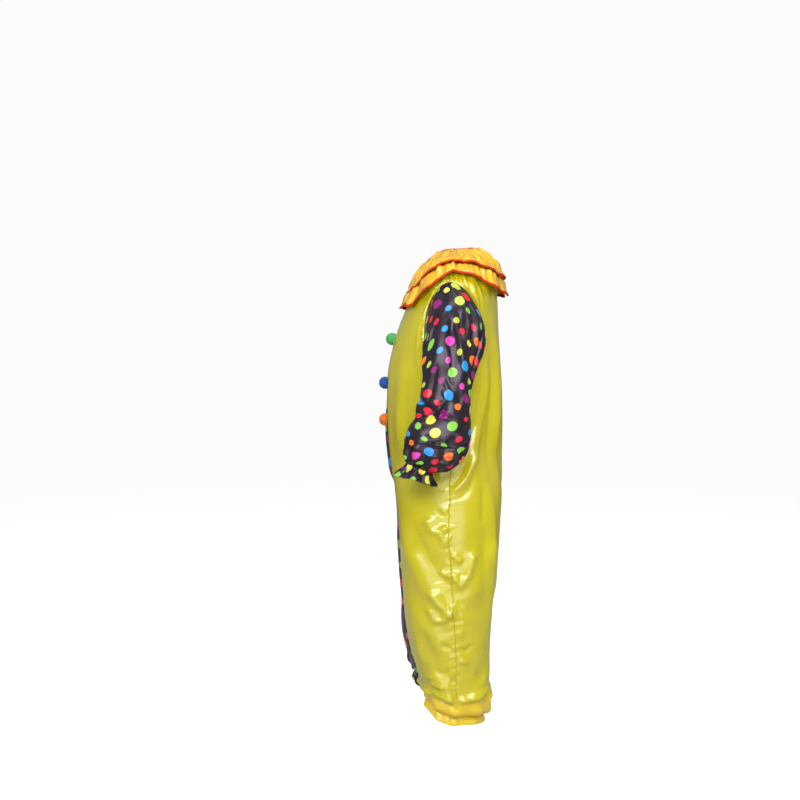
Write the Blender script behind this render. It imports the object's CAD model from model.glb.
"""Dresses the clown jumpsuit: satin panels with their folds, puckered seams and gathers, the ruffled collar
with its bound edges, the yarn pompoms, and a plain studio."""

import math
from collections import namedtuple

import bmesh
import bpy
import numpy as np
from bpy.props import FloatProperty, FloatVectorProperty, PointerProperty
from mathutils import Matrix, Vector


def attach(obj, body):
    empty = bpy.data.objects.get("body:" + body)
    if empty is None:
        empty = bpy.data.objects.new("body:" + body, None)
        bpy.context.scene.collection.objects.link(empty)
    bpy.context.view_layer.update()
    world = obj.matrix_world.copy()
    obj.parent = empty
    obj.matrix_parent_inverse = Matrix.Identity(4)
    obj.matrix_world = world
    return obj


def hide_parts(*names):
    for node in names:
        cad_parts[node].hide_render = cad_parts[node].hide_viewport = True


bl_info = {
    "name": "Clown jumpsuit",
    "version": (1, 0, 0),
    "blender": (4, 5, 0),
    "location": "View3D > Sidebar > Jumpsuit",
    "description": "Sews the satin, ruffles and pompoms of a clown jumpsuit over its packed model",
    "category": "Object",
}

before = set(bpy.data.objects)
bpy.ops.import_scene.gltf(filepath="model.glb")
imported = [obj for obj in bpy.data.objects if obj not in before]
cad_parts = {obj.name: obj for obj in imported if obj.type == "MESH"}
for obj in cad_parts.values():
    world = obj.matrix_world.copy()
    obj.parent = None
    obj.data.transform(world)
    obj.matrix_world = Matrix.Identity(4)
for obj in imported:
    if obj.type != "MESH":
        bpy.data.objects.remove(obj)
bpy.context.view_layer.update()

# ---- Sizes shared with the solids, in metres ----
HIP_Z, CROTCH_Z = -0.64, -0.76  # the legs part between these heights
ARMHOLE_BOTTOM, ARMHOLE_TOP = 15, 19  # body sections that the armhole lies between
ARMHOLE_MIDDLE = (ARMHOLE_TOP + ARMHOLE_BOTTOM) / 2
ARMHOLE_HALF = (ARMHOLE_TOP - ARMHOLE_BOTTOM) / 2
ARMHOLE_WIDTH, ARMHOLE_LEAN = 0.37, 0.09  # half its width and its lean forward, as shares of a panel
TIER_DEPTHS = {"upper": 0.106, "lower": 0.158}
TIER_LIFTS = {"upper": 0.019, "lower": 0.017}
TIER_SWEEP = {
    "upper": (-0.06, 0.02, 0.12, 0.08, 0.00, -0.02, 0.00, 0.11, 0.15, 0.14, 0.12),
    "lower": (-0.07, -0.02, 0.13, 0.07, -0.005, -0.08, -0.04, 0.03, 0.07, 0.08, 0.06),
}
FLUTES, FLUTE_HEIGHT = 13, 0.013
TRIM_WIDTH = 0.007
LAYER = 0.0018  # one thickness of ruffle and the gap under it
WRIST_GATHERS, ANKLE_GATHERS, GATHER_HEIGHT = 10, 9, 0.004
CUFF_WAVES, CUFF_WAVE, ANKLE_WAVES, ANKLE_WAVE = 10, 0.005, 9, 0.0035
POMPOM_CORE, POMPOM_RADIUS = 0.0078, 0.0190
POMPOM_HEIGHTS = {"green": -0.268, "blue": -0.400, "orange": -0.514}
SEAM = 0.0003  # gap between neighbouring solids
FINE = 40  # rows to a section of the smoothed body
LEG_X = 0.140  # middle of a leg at the ankle
GROOVE = 0.0008  # depth of the groove that a seam lies in
FOLD_SPAN = 0.36  # cloth between the side seam and a panel's far edge
SLEEVE_RADIUS = 0.075  # turns an angle round a sleeve into cloth
RING_STEP = 0.055  # cloth between neighbouring rings of a sleeve

# ---- Heights of the cloth's small unevenness, in metres ----
SWELL, SLEEVE_SWELL = 0.0016, 0.0010  # slow swell of hanging cloth
PUCKER, SLEEVE_PUCKER = 0.0017, 0.0011  # beside a seam
ARM_PUCKER, ARM_ROLL = 0.0036, 0.0026  # beside the armhole, and its rolled edge
SHOULDER_GATHER, CAP_GATHER = 0.0028, 0.0014
FINE_GATHER = 0.0013  # at the elastic of wrist and ankle
FOREARM_CRUMPLE = 0.0030
TIER_PLEAT, TIER_CREASE, TIER_CRUSH = 0.0036, 0.0032, 0.0018
TIER_RAISE = 0.0078  # keeps the hollows of a crumpled tier off the layer below
TIER_PLEATS = 124

# ---- Rows and columns of the cloth ----
PANEL_COLUMNS, PANEL_ARM_ROWS, PANEL_LOWER_ROWS, PANEL_UPPER_ROWS = 84, 58, 230, 36
SLEEVE_COLUMNS, SLEEVE_ROWS = 2 * PANEL_ARM_ROWS, 150
CUFF_COLUMNS, CUFF_ROWS = 241, 26
ANKLE_COLUMNS, ANKLE_ROWS, ANKLE_HEM_ROW = 281, 40, 26  # below the hem row the cloth turns in
TIER_COLUMNS, TIER_ROWS = 441, {"lower": 46, "upper": 34}
TAPE_ROWS, TAPE_END_ROWS, NECK_TAPE_ROWS = 900, 40, 200
CURVE_POINTS = 400  # on a line that is measured before it is divided evenly

Section = namedtuple("Section", "z side inner front back front_lift back_lift")
BODY = (
    Section(-1.362, 0.205, 0.075, 0.0760, 0.0850, 0.028, -0.024),  # ankle elastic
    Section(-1.368, 0.232, 0.048, 0.0830, 0.1040, 0.036, -0.014),
    Section(-1.350, 0.248, 0.034, 0.0855, 0.1125, 0.035, -0.010),  # blousing
    Section(-1.300, 0.251, 0.030, 0.0940, 0.1085, 0.008, 0.000),
    Section(-1.235, 0.254, 0.026, 0.1125, 0.1120, 0.000, 0.000),  # calf
    Section(-1.171, 0.257, 0.021, 0.1310, 0.1180, 0.000, 0.000),
    Section(-1.108, 0.259, 0.017, 0.1417, 0.1233, 0.000, 0.000),
    Section(-1.000, 0.262, 0.012, 0.1510, 0.1300, 0.000, 0.000),  # knee
    Section(-0.900, 0.262, 0.007, 0.1570, 0.1370, 0.000, 0.000),
    Section(-0.820, 0.260, 0.003, 0.1605, 0.1412, 0.000, 0.000),  # thigh
    Section(CROTCH_Z, 0.256, 0.000, 0.1660, 0.1440, 0.000, 0.000),
    Section(-0.700, 0.250, 0.000, 0.1725, 0.1520, 0.000, 0.000),  # seat
    Section(HIP_Z, 0.243, 0.000, 0.1825, 0.1580, 0.000, 0.000),
    Section(-0.550, 0.236, 0.000, 0.1910, 0.1600, 0.000, 0.000),  # waist
    Section(-0.440, 0.231, 0.000, 0.1930, 0.1600, 0.000, 0.000),  # belly
    Section(-0.360, 0.228, 0.000, 0.1900, 0.1560, 0.000, 0.000),  # underarm
    Section(-0.290, 0.228, 0.000, 0.1770, 0.1500, 0.000, 0.000),  # chest
    Section(-0.225, 0.228, 0.000, 0.1570, 0.1470, 0.000, 0.000),
    Section(-0.165, 0.226, 0.000, 0.1340, 0.1440, -0.003, 0.000),
    Section(-0.100, 0.219, 0.000, 0.1120, 0.1360, -0.020, 0.010),  # shoulder tip
    Section(-0.050, 0.155, 0.000, 0.0980, 0.1180, -0.040, 0.008),
    Section(-0.018, 0.106, 0.000, 0.0830, 0.0940, -0.042, 0.010),
    Section(0.000, 0.078, 0.000, 0.0715, 0.0717, -0.0325, 0.0085),  # neck
)
NECK, CROTCH = len(BODY) - 1, 10  # their places in the table
ANKLE = (
    BODY[0],
    Section(-1.380, 0.211, 0.069, 0.0790, 0.0890, 0.028, -0.016),
    Section(-1.402, 0.217, 0.063, 0.0815, 0.0905, 0.044, -0.008),  # hem
)
HEM_ROLL = Section(-1.397, 0.208, 0.072, 0.0740, 0.0820, 0.044, -0.008)  # the hem turned in
Ring = namedtuple("Ring", "x y z depth width lean swing")
SLEEVE = (
    Ring(0.2510, -0.002, -0.266, 0.087, 0.102, 7, 0),
    Ring(0.2690, -0.0115, -0.318, 0.080, 0.077, 24, 0),
    Ring(0.2810, -0.024, -0.378, 0.074, 0.057, 50, 0),
    Ring(0.2880, -0.033, -0.432, 0.0715, 0.050, 76, 3),
    Ring(0.2980, -0.036, -0.485, 0.076, 0.053, 88, 8),  # elbow
    Ring(0.3080, -0.051, -0.534, 0.090, 0.058, 90, 10),
    Ring(0.3120, -0.063, -0.574, 0.089, 0.060, 90, 11),  # fullest part of the puff
    Ring(0.3090, -0.085, -0.6165, 0.068, 0.050, 90, 15),
    Ring(0.3040, -0.107, -0.632, 0.040, 0.034, 90, 22),  # wrist elastic
)
CUFF = (
    SLEEVE[-1],
    Ring(0.3060, -0.111, -0.643, 0.043, 0.037, 90, 21),
    Ring(0.3100, -0.118, -0.665, 0.060, 0.050, 90, 15),  # hem
)

# The solids' large folds, which the satin follows before it takes its creases
Fold = namedtuple("Fold", "start top end bottom width height")
FOLDS = {
    "left": (
        Fold(0.62, -0.20, 0.58, -0.62, 0.034, 0.009),
        Fold(0.42, -0.30, 0.10, -0.74, 0.030, 0.010),
        Fold(0.30, -0.36, 0.34, -0.66, 0.026, -0.008),
        Fold(-0.52, -0.30, -0.66, -0.62, 0.034, 0.006),
        Fold(-0.42, -0.80, -0.05, -1.08, 0.032, 0.010),
        Fold(-0.30, -0.84, -0.02, -0.99, 0.024, -0.007),
        Fold(0.36, -0.84, 0.04, -1.06, 0.030, 0.009),
        Fold(-0.36, -1.02, -0.04, -1.20, 0.028, 0.008),
        Fold(0.46, -0.98, 0.50, -1.26, 0.030, -0.007),
        Fold(-0.26, -1.22, 0.05, -1.33, 0.022, 0.009),
        Fold(0.40, -1.22, 0.12, -1.33, 0.022, 0.008),
        Fold(0.78, -0.84, 0.70, -1.24, 0.030, 0.008),
        Fold(-0.84, -0.24, -0.86, -0.74, 0.034, 0.005),
    ),
    "right": (
        Fold(0.60, -0.22, 0.64, -0.60, 0.034, 0.009),
        Fold(0.44, -0.32, 0.14, -0.70, 0.030, 0.009),
        Fold(0.24, -0.38, 0.30, -0.68, 0.026, -0.007),
        Fold(-0.50, -0.28, -0.60, -0.66, 0.034, 0.007),
        Fold(-0.46, -0.84, -0.08, -1.12, 0.032, 0.009),
        Fold(-0.28, -0.80, -0.03, -0.96, 0.024, -0.007),
        Fold(0.40, -0.88, 0.06, -1.10, 0.030, 0.008),
        Fold(-0.40, -1.06, -0.06, -1.24, 0.028, 0.008),
        Fold(0.50, -0.94, 0.46, -1.24, 0.030, -0.007),
        Fold(-0.30, -1.23, 0.03, -1.33, 0.022, 0.008),
        Fold(0.44, -1.21, 0.14, -1.33, 0.022, 0.009),
        Fold(0.76, -0.82, 0.72, -1.20, 0.030, 0.008),
        Fold(-0.84, -0.24, -0.86, -0.74, 0.034, 0.006),
        Fold(-0.87, -0.44, -0.86, -0.74, 0.026, 0.008),
    ),
}
SleeveFold = namedtuple("SleeveFold", "angle start turned end width height")
SLEEVE_FOLDS = (
    SleeveFold(-38, 0.6, -24, 4.4, 0.30, 0.008),
    SleeveFold(22, 0.6, 30, 3.6, 0.34, 0.007),
    SleeveFold(-72, 1.0, -60, 4.6, 0.26, -0.006),
    SleeveFold(0, 1.0, -6, 4.0, 0.22, -0.006),
    SleeveFold(95, 4.2, -30, 5.3, 0.30, -0.010),
    SleeveFold(110, 6.9, -70, 6.6, 0.34, 0.009),
)

# ---- Creases pressed and pulled into the satin ----
# Places on a body half are (share of the way from the side seam to the front as negative or to the
# back, height); places on a sleeve are (degrees round from its outer line to the front, ring). The
# width is half the crease's breadth, and a crease of negative height is a hollow. A swag has a flank too:
# the cloth slopes up to its line from that far above it, and falls away sooner below.
Crease = namedtuple("Crease", "places width height flank", defaults=(0,))
BODY_CREASES = (
    # front of the thigh, pulled down to the side seam
    Crease(((-0.10, -0.77), (-0.04, -0.75)), 0.005, 0.0060, 0.016),
    Crease(((-0.19, -0.78), (-0.14, -0.82), (-0.09, -0.825), (-0.04, -0.80)), 0.007, 0.0100, 0.026),
    Crease(((-0.13, -0.76), (-0.06, -0.78)), 0.006, -0.0040),
    Crease(((-0.10, -0.83), (-0.06, -0.85), (-0.04, -0.83)), 0.005, 0.0070, 0.015),
    Crease(((-0.11, -0.85), (-0.04, -0.87)), 0.006, 0.0045),
    Crease(((-0.39, -0.84), (-0.25, -0.90), (-0.13, -0.97)), 0.024, 0.0018, 0.045),
    Crease(((-0.28, -0.80), (-0.14, -0.92)), 0.010, -0.0035),
    Crease(((-0.10, -0.935), (-0.03, -0.955)), 0.006, 0.0085, 0.018),
    Crease(((-0.16, -0.99), (-0.11, -1.03), (-0.03, -1.06), (-0.02, -1.02)), 0.007, 0.0112, 0.024),
    Crease(((-0.18, -1.04), (-0.13, -1.08), (-0.08, -1.08), (-0.03, -1.055)), 0.007, 0.0112, 0.024),
    Crease(((-0.34, -1.06), (-0.29, -1.16), (-0.29, -1.24)), 0.016, 0.0060),
    Crease(((-0.24, -1.10), (-0.16, -1.22)), 0.020, -0.0055),
    # back of the thigh
    Crease(((0.25, -0.59), (0.10, -0.67), (0.00, -0.70), (-0.06, -0.71)), 0.007, 0.0095, 0.022),
    Crease(((0.22, -0.64), (0.12, -0.70), (0.00, -0.73)), 0.012, -0.0060),
    Crease(((-0.03, -0.885), (0.04, -0.91)), 0.006, 0.0095, 0.018),
    Crease(
        ((-0.03, -0.93), (0, -0.96), (0.035, -0.975), (0.08, -0.95), (0.13, -0.875)), 0.007, 0.0122, 0.027
    ),
    Crease(((0.22, -0.79), (0.21, -0.92), (0.20, -1.02)), 0.020, -0.0070),
    Crease(((0.27, -0.68), (0.18, -0.82)), 0.013, -0.0060),
    Crease(((0.33, -0.66), (0.30, -0.82), (0.32, -1.02), (0.30, -1.15)), 0.018, 0.0080),
    Crease(((0.40, -0.80), (0.38, -1.00), (0.42, -1.20)), 0.020, -0.0060),
    Crease(((0.02, -1.03), (0.05, -1.08), (0.04, -1.15)), 0.012, 0.0050),
    # calf
    Crease(((-0.10, -1.145), (-0.02, -1.17)), 0.007, -0.0055),
    Crease(((0.15, -1.15), (0.08, -1.17), (0.01, -1.16)), 0.007, -0.0050),
    Crease(((-0.05, -1.255), (0.02, -1.265)), 0.007, -0.0050),
    Crease(((0.18, -1.23), (0.28, -1.27)), 0.010, -0.0070),
    Crease(((0.02, -1.20), (0.12, -1.21)), 0.008, 0.0050),
    Crease(((-0.30, -1.26), (-0.19, -1.25)), 0.005, 0.0055, 0.013),
    Crease(((-0.20, -1.225), (-0.11, -1.24), (-0.03, -1.225)), 0.010, -0.0045),
    # blousing over the ankle elastic
    Crease(((-0.25, -1.27), (-0.10, -1.28)), 0.004, 0.0070, 0.013),
    Crease(((-0.40, -1.30), (-0.13, -1.305), (0.01, -1.32)), 0.006, 0.0130, 0.020),
    Crease(((0.01, -1.32), (0.20, -1.31), (0.38, -1.29)), 0.006, 0.0130, 0.020),
    Crease(((-0.38, -1.28), (-0.20, -1.31), (0.09, -1.355)), 0.008, -0.0100),
    Crease(((0.60, -1.28), (0.50, -1.32), (0.36, -1.345)), 0.010, 0.0090),
    Crease(((0.50, -1.29), (0.40, -1.32), (0.28, -1.335)), 0.008, -0.0070),
    Crease(((-0.62, -1.27), (-0.50, -1.30), (-0.38, -1.315)), 0.010, 0.0090),
    Crease(((0.88, -1.27), (0.76, -1.31), (0.62, -1.33)), 0.011, 0.0090),
    Crease(((-0.92, -1.27), (-0.80, -1.30), (-0.66, -1.32)), 0.011, 0.0090),
    # trunk: long soft folds, with the cloth pulled from the armhole
    Crease(((0.42, -0.26), (0.40, -0.42), (0.28, -0.55), (0.12, -0.66)), 0.024, 0.0050),
    Crease(((0.50, -0.27), (0.47, -0.45), (0.40, -0.70)), 0.020, -0.0075),
    Crease(((0.62, -0.22), (0.58, -0.45), (0.56, -0.72)), 0.024, 0.0055),
    Crease(((0.33, -0.38), (0.24, -0.50), (0.13, -0.585)), 0.014, -0.0050),
    Crease(((0.72, -0.24), (0.70, -0.50), (0.66, -0.78)), 0.020, -0.0060),
    Crease(((-0.42, -0.17), (-0.445, -0.235), (-0.40, -0.33), (-0.33, -0.40)), 0.010, 0.0040),
    Crease(((-0.30, -0.40), (-0.29, -0.52), (-0.25, -0.64)), 0.016, -0.0060),
    Crease(((-0.38, -0.38), (-0.39, -0.52), (-0.36, -0.70)), 0.018, 0.0053),
    Crease(((-0.50, -0.30), (-0.54, -0.46), (-0.50, -0.74)), 0.024, -0.0030),
    Crease(((-0.64, -0.26), (-0.66, -0.46), (-0.60, -0.70)), 0.028, 0.0028),
    Crease(((-0.04, -0.40), (-0.10, -0.55), (-0.16, -0.70)), 0.014, 0.0060),
    Crease(((0.03, -0.39), (0.04, -0.50), (0.02, -0.62)), 0.012, 0.0060),
    # shoulder, below the collar
    Crease(((-0.06, -0.088), (-0.12, -0.115), (-0.20, -0.155)), 0.007, 0.0060),
    Crease(((0.05, -0.085), (0.12, -0.105), (0.22, -0.150)), 0.008, 0.0070),
    Crease(((0.12, -0.085), (0.22, -0.120), (0.33, -0.185)), 0.016, 0.0100),
    Crease(((0.25, -0.080), (0.34, -0.120), (0.42, -0.190)), 0.009, 0.0060),
    Crease(((-0.15, -0.09), (-0.26, -0.13), (-0.36, -0.20)), 0.010, 0.0060),
    Crease(((-0.30, -0.14), (-0.37, -0.19), (-0.41, -0.25)), 0.008, -0.0050),
    # inner leg
    Crease(((-0.66, -0.82), (-0.78, -0.92), (-0.94, -0.98)), 0.012, 0.0083),
    Crease(((-0.60, -0.92), (-0.76, -1.02), (-0.93, -1.06)), 0.012, -0.0075),
    Crease(((0.68, -0.84), (0.80, -0.93), (0.95, -0.97)), 0.012, 0.0083),
    Crease(((0.62, -0.96), (0.78, -1.06), (0.94, -1.10)), 0.012, 0.0075),
    Crease(((-0.70, -1.08), (-0.72, -1.20)), 0.018, 0.0067),
    Crease(((0.56, -0.80), (0.60, -0.98), (0.58, -1.20)), 0.018, -0.0075),
)
SLEEVE_CREASES = (
    # from the cap down to the elbow
    Crease(((0, 0.1), (-10, 0.6), (-20, 1.3), (-35, 1.9)), 0.006, 0.0080),
    Crease(((10, 1.3), (-10, 2.0), (-30, 3.0), (-42, 3.4)), 0.006, 0.0090),
    Crease(((18, 2.2), (8, 2.7), (-5, 3.5)), 0.005, 0.0075),
    Crease(((8, 2.0), (-5, 2.6)), 0.005, 0.0060),
    Crease(((6, 1.5), (2, 2.6)), 0.006, -0.0080),
    Crease(((-6, 1.2), (-22, 2.3)), 0.007, -0.0080),
    Crease(((-20, 0.7), (-40, 1.8), (-40, 2.8)), 0.009, -0.0085),
    Crease(((-42, 1.0), (-55, 2.0), (-52, 3.0)), 0.006, 0.0075),
    Crease(((-65, 1.0), (-75, 2.0), (-75, 3.4)), 0.008, -0.0070),
    Crease(((30, 0.1), (40, 0.4), (50, 0.8)), 0.006, 0.0060),
    Crease(((20, 0.2), (28, 1.3)), 0.008, -0.0055),
    Crease(((43, 1.3), (62, 2.1)), 0.009, 0.0065),
    Crease(((88, 0.8), (76, 3.2)), 0.008, 0.0075),
    Crease(((26, 2.7), (44, 4.5)), 0.010, -0.0060),
    Crease(((12, 3.4), (0, 3.8), (-18, 4.3)), 0.005, 0.0070),
    Crease(((10, 3.8), (-3, 4.4)), 0.005, 0.0060),
    Crease(((0, 3.1), (-12, 3.7)), 0.005, 0.0060),
    Crease(((-30, 3.5), (-40, 4.1), (-40, 4.7)), 0.007, 0.0065),
    Crease(((-50, 3.5), (-64, 4.0), (-62, 4.8)), 0.007, 0.0055),
    # crook of the elbow
    Crease(((64, 5.8), (40, 5.3), (20, 4.8), (2, 4.4)), 0.0045, 0.0110),
    Crease(((-6, 4.2), (8, 4.8), (20, 5.1), (42, 5.6)), 0.007, -0.0110),
    Crease(((18, 4.5), (-2, 4.4)), 0.004, 0.0060),
    Crease(((98, 4.2), (84, 4.9), (70, 5.5)), 0.007, 0.0090),
    Crease(((-96, 4.6), (-44, 5.5)), 0.008, -0.0070),
    # forearm puff
    Crease(((36, 6.4), (12, 6.7), (-4, 6.5), (-22, 5.8)), 0.005, 0.0085),
    Crease(((-24, 5.7), (-45, 6.2), (-64, 6.0)), 0.005, 0.0075),
    Crease(((30, 6.2), (10, 6.4), (-6, 6.1)), 0.008, -0.0050),
    Crease(((48, 6.6), (57, 7.0), (28, 7.3)), 0.005, 0.0070),
    Crease(((24, 7.5), (-22, 7.3), (-60, 6.6)), 0.005, 0.0085),
    Crease(((20, 7.0), (-5, 7.0), (-30, 6.6)), 0.008, -0.0060),
    Crease(((-28, 7.5), (-34, 6.9)), 0.004, 0.0050),
    Crease(((10, 7.9), (-40, 7.6), (-70, 7.1)), 0.007, 0.0060),
    Crease(((74, 7.2), (60, 8.5)), 0.006, 0.0075),
    # side next to the body
    Crease(((150, 0.4), (140, 1.6), (150, 3.0)), 0.0090, 0.0060),
    Crease(((-130, 0.4), (-140, 1.8), (-128, 3.4)), 0.0090, 0.0060),
    Crease(((170, 3.8), (140, 4.6), (120, 5.2)), 0.0080, 0.0067),
    Crease(((-110, 5.8), (-140, 6.2), (-170, 6.0)), 0.0080, 0.0067),
    Crease(((170, 6.6), (140, 7.0), (110, 6.8)), 0.0080, 0.0067),
)

# The side seam wanders a little, as (height, place as a share of the way to the back)
SIDE_SEAM = ((-1.36, 0.01), (-1.24, 0.005), (-1.05, -0.015), (-0.90, -0.035), (-0.65, -0.05), (-0.38, 0.0))

# ---- Surfaces ----


def ease(x):
    x = np.clip(x, 0, 1)
    return x * x * (3 - 2 * x)


def unit(vectors):
    return vectors / np.maximum(np.linalg.norm(vectors, axis=-1, keepdims=True), 1e-12)


def bell(x, width):
    return np.exp(-((x / width) ** 2))


def glide(values, where, paired=False):
    """Smooth curve through values at 0, 1, 2 and so on, without overshoot."""
    values = np.asarray(values, float)
    where = np.asarray(where, float)
    k = np.clip(np.floor(where).astype(int), 0, len(values) - 2)
    steps = np.diff(values, axis=0)
    rise, fall = steps[:-1], steps[1:]
    total = np.where(rise + fall == 0, 1, rise + fall)
    inner = np.where(rise * fall > 0, 2 * rise * fall / total, 0)
    slopes = np.concatenate([steps[:1], inner, steps[-1:]])
    here, after = k, k + 1
    if paired:
        here, after = (k, np.arange(k.size)), (k + 1, np.arange(k.size))
    f = (where - k).reshape(where.shape + (1,) * (values[here].ndim - where.ndim))
    f2, f3 = f * f, f * f * f
    return (
        (2 * f3 - 3 * f2 + 1) * values[here]
        + (f3 - 2 * f2 + f) * slopes[here]
        + (3 * f2 - 2 * f3) * values[after]
        + (f3 - f2) * slopes[after]
    )


def normals(surface, u, v, step=1e-3):
    """Normals of surface(u, v), on the side that turns from u to v."""
    along_u = surface(u + step, v) - surface(u - step, v)
    along_v = surface(u, v + step) - surface(u, v - step)
    return unit(np.cross(along_u, along_v))


def softened(sections):
    """The sections as close-set rows, FINE to a section, with the joins of their curves smoothed out."""
    levels = np.linspace(0, len(sections) - 1, FINE * (len(sections) - 1) + 1)
    rows = glide(sections, levels)
    reach = 60  # rows on either side that are averaged
    weights = bell(np.arange(-reach, reach + 1), 24)
    padded = np.pad(rows, ((reach, reach), (0, 0)), mode="reflect", reflect_type="odd")
    soft = np.stack([np.convolve(column, weights / weights.sum(), "valid") for column in padded.T], axis=-1)
    share = (ease((levels - 3) / 2) * ease((len(sections) - 1 - levels) / 1.5))[:, None]
    return rows * (1 - share) + soft * share


BODY_ROWS = softened(BODY)


def oval(sections, turn, level):
    """Points of half the body, or of one leg. turn is -1 at the front or inseam edge, 0 at the side."""
    if sections is BODY:
        sections, level = BODY_ROWS, np.asarray(level) * FINE
    z, side, inner, front, back, front_lift, back_lift = np.moveaxis(glide(sections, level), -1, 0)
    parting = np.clip((HIP_Z - z) / (HIP_Z - CROTCH_Z), 0, 1) ** 2
    soft = math.pi / 2 * (1 + ease((-0.60 - z) / 0.24))
    near_edge = np.abs(turn) ** 4  # the legs part sharply at the middle and gently at the sides
    angle = turn * (soft + (np.arccos(-parting) - soft) * near_edge)
    soft_reach = (side - inner) / (1 - np.cos(soft))
    reach = soft_reach + ((side - inner) / (1 + parting) - soft_reach) * near_edge
    depth = np.where(turn < 0, front, back)
    lift = np.where(turn < 0, front_lift, back_lift)
    x = side - reach + reach * np.cos(angle)
    return np.stack([x, depth * np.sin(angle), z + lift * np.sin(angle) ** 2], axis=-1)


def stride(side, points):
    """Points of a leg: the right foot stands a little further forward than the left one."""
    z = points[..., 2]
    forward = 0.005 * ease((-0.80 - z) / 0.2) + 0.021 * ease((-1.08 - z) / 0.17)
    return points - forward[..., None] * (0, side == "right", 0)


def fold_height(folds, turn, z):
    total = np.zeros(np.broadcast(turn, z).shape)
    for fold in folds:
        run = np.array([(fold.end - fold.start) * FOLD_SPAN, fold.bottom - fold.top])
        length = np.linalg.norm(run)
        away = np.stack([(turn - fold.start) * FOLD_SPAN, z - fold.top], axis=-1)
        along = away @ run / length**2
        across = (away[..., 0] * run[1] - away[..., 1] * run[0]) / length
        total = total + fold.height * bell(across, fold.width) * ease(along / 0.3) * ease((1 - along) / 0.3)
    return total * ease((1 - np.abs(turn)) / 0.15) * ease(np.abs(turn) / 0.08)


def outwards_of(points, x, y):
    return unit((points - [x, y, 0]) * (1, 1, 0))


def smooth_body(turn, level):
    """Points of half the body without its folds."""
    return oval(BODY, turn, level)


def body_surface(side):
    """surface(turn, level) of a body half before it takes its creases."""

    def surface(turn, level):
        turn, level = np.broadcast_arrays(np.asarray(turn, float), np.asarray(level, float))
        points = smooth_body(turn, level)
        height = fold_height(FOLDS[side], turn, points[..., 2]) * ease((level - 1.5) / 1.5)
        points = points + normals(smooth_body, turn, level) * height[..., None]
        gathered = GATHER_HEIGHT * ease(level / 1.2) * ease((3.2 - level) / 1.6)
        waves = gathered * np.cos(math.pi * ANKLE_GATHERS * turn)
        return points + outwards_of(points, LEG_X, 0) * waves[..., None]

    return surface


def ring_points(ring, angle):
    lean, swing = math.radians(ring.lean), math.radians(ring.swing)
    outer = np.array([math.sin(lean), 0, math.cos(lean)]) * ring.width
    forward = np.array([0, -math.cos(swing), math.sin(swing)]) * ring.depth
    angle = np.asarray(angle)[..., None]
    return np.array([ring.x, ring.y, ring.z]) + outer * np.cos(angle) + forward * np.sin(angle)


def seam_turn(level):
    """The middle of the armhole and the shoulder seam, in turns: the shoulder leans forward."""
    rest = 1 - ease((level - ARMHOLE_TOP) / (NECK - ARMHOLE_TOP))
    return -ARMHOLE_LEAN * ease((level - 16.4) / 2.6) * rest


def armhole_place(angle):
    """Turn and level of the armhole's edge, at an angle from its top."""
    level = ARMHOLE_MIDDLE + ARMHOLE_HALF * np.cos(angle)
    return seam_turn(level) - ARMHOLE_WIDTH * np.sin(angle), level


def loft(rings, where):
    return glide(np.stack(rings), where.ravel(), paired=True).reshape(where.shape + (3,))


def sleeve_fold_height(angle, ring):
    total = np.zeros(angle.shape)
    for fold in SLEEVE_FOLDS:
        along = (ring - fold.start) / (fold.end - fold.start)
        middle = np.radians(fold.angle + (fold.turned - fold.angle) * np.clip(along, 0, 1))
        across = np.angle(np.exp(1j * (angle - middle)))
        ends = ease(along / 0.25), ease((1 - along) / 0.25)
        total = total + fold.height * bell(across, fold.width) * ends[0] * ends[1]
    return total


def sleeve_surface(body):
    """surface(angle, level) of a sleeve; level is minus the ring, so it rises to the armhole."""

    def smooth(angle, level):
        angle, level = np.broadcast_arrays(np.asarray(angle, float), np.asarray(level, float))
        rings = [body(*armhole_place(angle.ravel()))]
        rings += [ring_points(ring, angle.ravel()) for ring in SLEEVE]
        return loft(rings, -level)

    def surface(angle, level):
        angle, level = np.broadcast_arrays(np.asarray(angle, float), np.asarray(level, float))
        gathered = ease((9 + level) / 0.8) * ease((-level - 5.8) / 1.6)
        height = sleeve_fold_height(angle, -level) + GATHER_HEIGHT * gathered * np.cos(WRIST_GATHERS * angle)
        return smooth(angle, level) - normals(smooth, angle, level) * height[..., None]

    return surface


def crease_height(creases, u, v, scale):
    """Height of the creases at places u, v of the cloth; scale turns a crease's places into metres. Cloth
    hangs, so a ridge slopes gently above its line and drops steeply below it."""
    total = np.zeros(u.shape)
    for crease in creases:
        places = np.array(crease.places) * scale
        lengths = np.linalg.norm(np.diff(places, axis=0), axis=1)
        nearest = np.full(u.shape, np.inf)
        share = np.zeros(u.shape)
        above = np.zeros(u.shape)
        done = 0.0
        for start, end, length in zip(places[:-1], places[1:], lengths):
            run = (end - start) / length
            along = np.clip((u - start[0]) * run[0] + (v - start[1]) * run[1], 0, length)
            over = v - start[1] - run[1] * along
            away = np.hypot(u - start[0] - run[0] * along, over)
            closer = away < nearest
            nearest = np.where(closer, away, nearest)
            share = np.where(closer, (done + along) / lengths.sum(), share)
            above = np.where(closer, over / (away + 0.002), above)
            done += length
        fade = 0.16 if crease.flank else 0.35
        ends = ease(share / fade) * ease((1 - share) / fade)
        width = crease.width * (1 + (0.5 if crease.height > 0 else -0.35) * above)
        profile = np.exp(-np.abs(nearest / width) ** 1.5)
        if crease.flank:
            upper = ease((above + 0.6) / 1.2)
            slope = np.clip(1 - nearest / crease.flank, 0, 1) ** 1.3
            profile = upper * slope + (1 - upper) * bell(nearest, 1.5 * crease.width)
        total += crease.height * profile * (0.12 + 0.88 * ends)
    return total


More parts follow.
